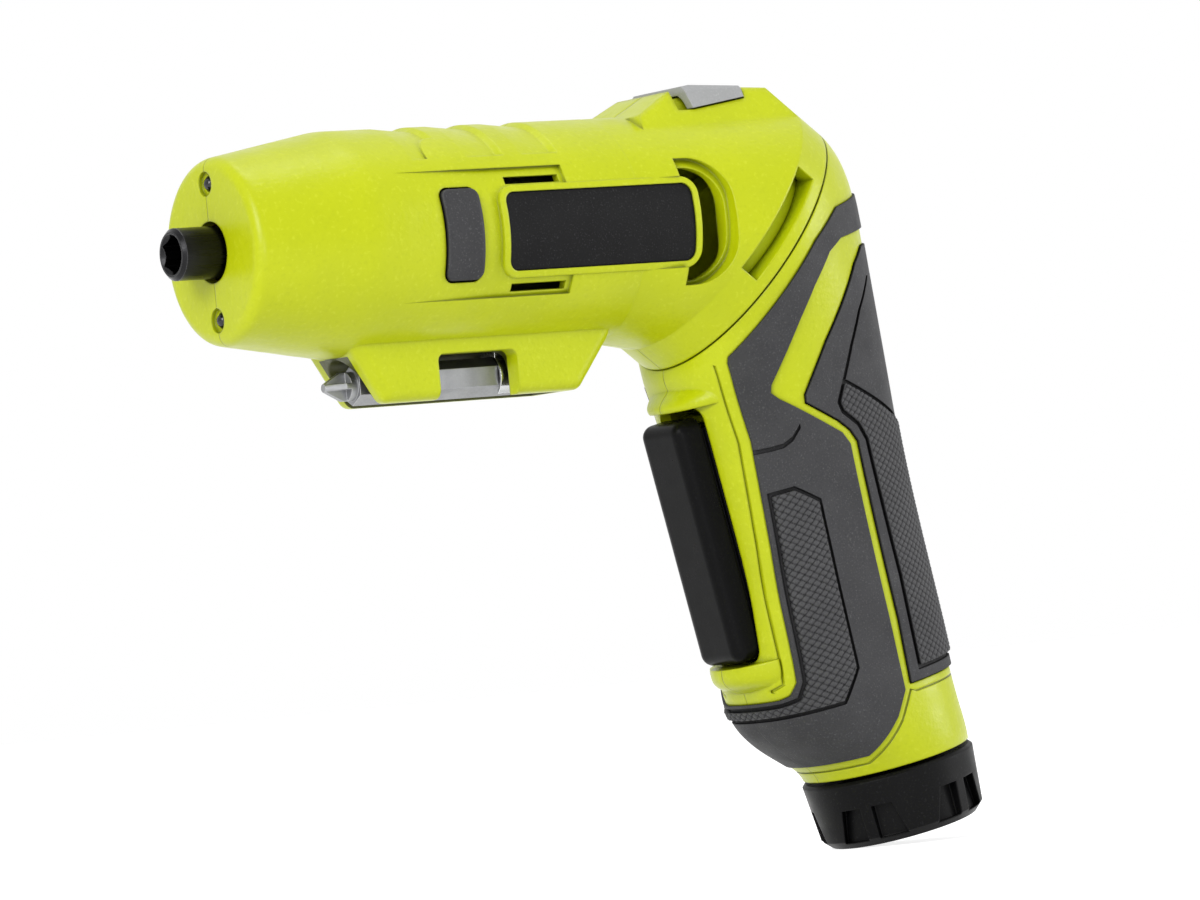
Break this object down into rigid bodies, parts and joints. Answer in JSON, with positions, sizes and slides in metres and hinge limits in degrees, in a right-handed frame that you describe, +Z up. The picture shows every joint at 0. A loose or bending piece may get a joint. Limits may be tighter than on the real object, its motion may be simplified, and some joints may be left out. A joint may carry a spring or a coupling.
{
  "type": "electric screwdriver",
  "caption": "Cordless pistol-grip electric screwdriver with a hex bit socket, swivelling handle, long trigger, bit store under the barrel and a screw-in battery cap.",
  "frame": {"origin": "middle of the bit socket's mouth, on the spindle's axis", "axes": "+X back along the barrel, +Y to the user's right, +Z up, away from the handle"},
  "size_m": [0.1664, 0.0482, 0.1481],
  "materials": {
    "green_casing": "satin",
    "black_plate": "satin",
    "grey_grip": "matte",
    "weave_inlay": "matte",
    "soft_button": "matte",
    "steel": "satin",
    "clear_lens": "gloss",
    "circuit_board": "satin",
    "inner_black": "matte",
    "gear_metal": "satin",
    "bronze": "satin",
    "zinc_steel": "satin",
    "magnet": "matte",
    "carbon": "matte",
    "clip_chrome": "gloss",
    "black_steel": "satin",
    "copper": "gloss",
    "slider_grey": "satin",
    "bit_steel": "satin",
    "black_trigger": "satin",
    "black_cap": "satin"
  },
  "bodies": {
    "barrel": {"barrel_left_half": "green_casing", "barrel_right_half": "green_casing", "barrel_screws": "steel", "name_plate_left": "black_plate", "name_plate_right": "black_plate", "work_lights": "clear_lens", "light_board": "circuit_board", "gear_case": "inner_black", "ring_gear": "gear_metal", "gearbox_back_plate": "steel", "spindle_bush": "bronze", "motor_can": "zinc_steel", "motor_end_cap": "inner_black", "motor_magnets": "magnet", "motor_bushes": "bronze", "motor_brushes": "carbon", "bit_clips": "clip_chrome"},
    "spindle": {"bit_holder": "black_steel", "socket_magnet": "magnet", "retaining_ring": "steel", "output_carrier": "gear_metal"},
    "second_planet_1": {"second_planet_1": "gear_metal"},
    "second_planet_2": {"second_planet_2": "gear_metal"},
    "second_planet_3": {"second_planet_3": "gear_metal"},
    "first_carrier": {"first_carrier": "gear_metal"},
    "first_planet_1": {"first_planet_1": "gear_metal"},
    "first_planet_2": {"first_planet_2": "gear_metal"},
    "first_planet_3": {"first_planet_3": "gear_metal"},
    "rotor": {"rotor_shaft": "steel", "motor_pinion": "bronze", "armature_core": "zinc_steel", "armature_windings": "copper", "commutator": "copper"},
    "selector": {"selector_shuttle": "inner_black", "direction_button_left": "soft_button", "direction_button_right": "soft_button"},
    "swivel_lock": {"lock_slider": "slider_grey", "lock_bolt": "steel", "lock_spring": "steel"},
    "stored_bit": {"spare_bit": "bit_steel"},
    "handle": {"handle_left_half": "green_casing", "handle_right_half": "green_casing", "side_grip_left": "grey_grip", "side_grip_right": "grey_grip", "palm_grip_left": "grey_grip", "palm_grip_right": "grey_grip", "side_inlay_left": "weave_inlay", "side_inlay_right": "weave_inlay", "palm_inlay_left": "weave_inlay", "palm_inlay_right": "weave_inlay", "handle_screws": "steel", "swivel_collar": "green_casing", "trigger_pin": "steel", "trigger_switch": "inner_black", "trigger_spring": "steel", "battery_contacts": "bronze", "control_board": "circuit_board"},
    "trigger": {"trigger": "black_trigger"},
    "battery": {"battery_pack": "inner_black"},
    "cap": {"battery_cap": "black_cap"}
  },
  "joints": [
    {"name": "rotor_spin", "type": "hinge", "parent": "barrel", "child": "rotor", "pos_m": [0.07, 0, 0], "axis": [1, 0, 0], "continuous": true},
    {"name": "spindle_spin", "type": "hinge", "parent": "barrel", "child": "spindle", "pos_m": [0.016, 0, 0], "axis": [1, 0, 0], "continuous": true},
    {"name": "first_carrier_spin", "type": "hinge", "parent": "barrel", "child": "first_carrier", "pos_m": [0.0318, 0, 0], "axis": [1, 0, 0], "continuous": true},
    {"name": "second_planet_1_spin", "type": "hinge", "parent": "spindle", "child": "second_planet_1", "pos_m": [0.0277, 0, 0.0081], "axis": [1, 0, 0], "continuous": true},
    {"name": "first_planet_1_spin", "type": "hinge", "parent": "first_carrier", "child": "first_planet_1", "pos_m": [0.0359, 0, 0.0081], "axis": [1, 0, 0], "continuous": true},
    {"name": "second_planet_2_spin", "type": "hinge", "parent": "spindle", "child": "second_planet_2", "pos_m": [0.0277, -0.00701, -0.00405], "axis": [1, 0, 0], "continuous": true},
    {"name": "first_planet_2_spin", "type": "hinge", "parent": "first_carrier", "child": "first_planet_2", "pos_m": [0.0359, -0.00701, -0.00405], "axis": [1, 0, 0], "continuous": true},
    {"name": "second_planet_3_spin", "type": "hinge", "parent": "spindle", "child": "second_planet_3", "pos_m": [0.0277, 0.00701, -0.00405], "axis": [1, 0, 0], "continuous": true},
    {"name": "first_planet_3_spin", "type": "hinge", "parent": "first_carrier", "child": "first_planet_3", "pos_m": [0.0359, 0.00701, -0.00405], "axis": [1, 0, 0], "continuous": true},
    {"name": "handle_swivel", "type": "hinge", "parent": "barrel", "child": "handle", "pos_m": [0.1231, 0, -0.0049], "axis": [0.7744, 0, -0.6327], "range_deg": [0, 180]},
    {"name": "direction_slide", "type": "slide", "parent": "barrel", "child": "selector", "axis": [0, 1, 0], "range_m": [-0.002, 0.002]},
    {"name": "lock_slide", "type": "slide", "parent": "barrel", "child": "swivel_lock", "axis": [-1, 0, 0], "range_m": [0, 0.003], "stiffness_N_per_m": 600, "springref_m": -0.003, "deforming": ["lock_spring"]},
    {"name": "bit_slide", "type": "slide", "parent": "barrel", "child": "stored_bit", "axis": [-1, 0, 0], "range_m": [0, 0.05]},
    {"name": "trigger_pivot", "type": "hinge", "parent": "handle", "child": "trigger", "pos_m": [0.11874, 0, -0.07875], "axis": [0, 1, 0], "range_deg": [0, 5], "stiffness_Nm_per_rad": 4, "springref_deg": -2.86, "deforming": ["trigger_spring"]},
    {"name": "battery_slide", "type": "slide", "parent": "handle", "child": "battery", "axis": [0.1994, 0, -0.9799], "range_m": [0, 0.09]},
    {"name": "cap_twist", "type": "hinge", "parent": "battery", "child": "cap", "pos_m": [0.14828, 0, -0.10611], "axis": [0.1994, 0, -0.9799], "range_deg": [0, 60]}
  ],
  "couplings": [
    {"joint": "spindle_spin", "follows": "rotor_spin", "ratio": 0.027778},
    {"joint": "first_carrier_spin", "follows": "rotor_spin", "ratio": 0.16667},
    {"joint": "second_planet_1_spin", "follows": "rotor_spin", "ratio": -0.069444},
    {"joint": "first_planet_1_spin", "follows": "rotor_spin", "ratio": -0.41667},
    {"joint": "second_planet_2_spin", "follows": "rotor_spin", "ratio": -0.069444},
    {"joint": "first_planet_2_spin", "follows": "rotor_spin", "ratio": -0.41667},
    {"joint": "second_planet_3_spin", "follows": "rotor_spin", "ratio": -0.069444},
    {"joint": "first_planet_3_spin", "follows": "rotor_spin", "ratio": -0.41667}
  ]
}
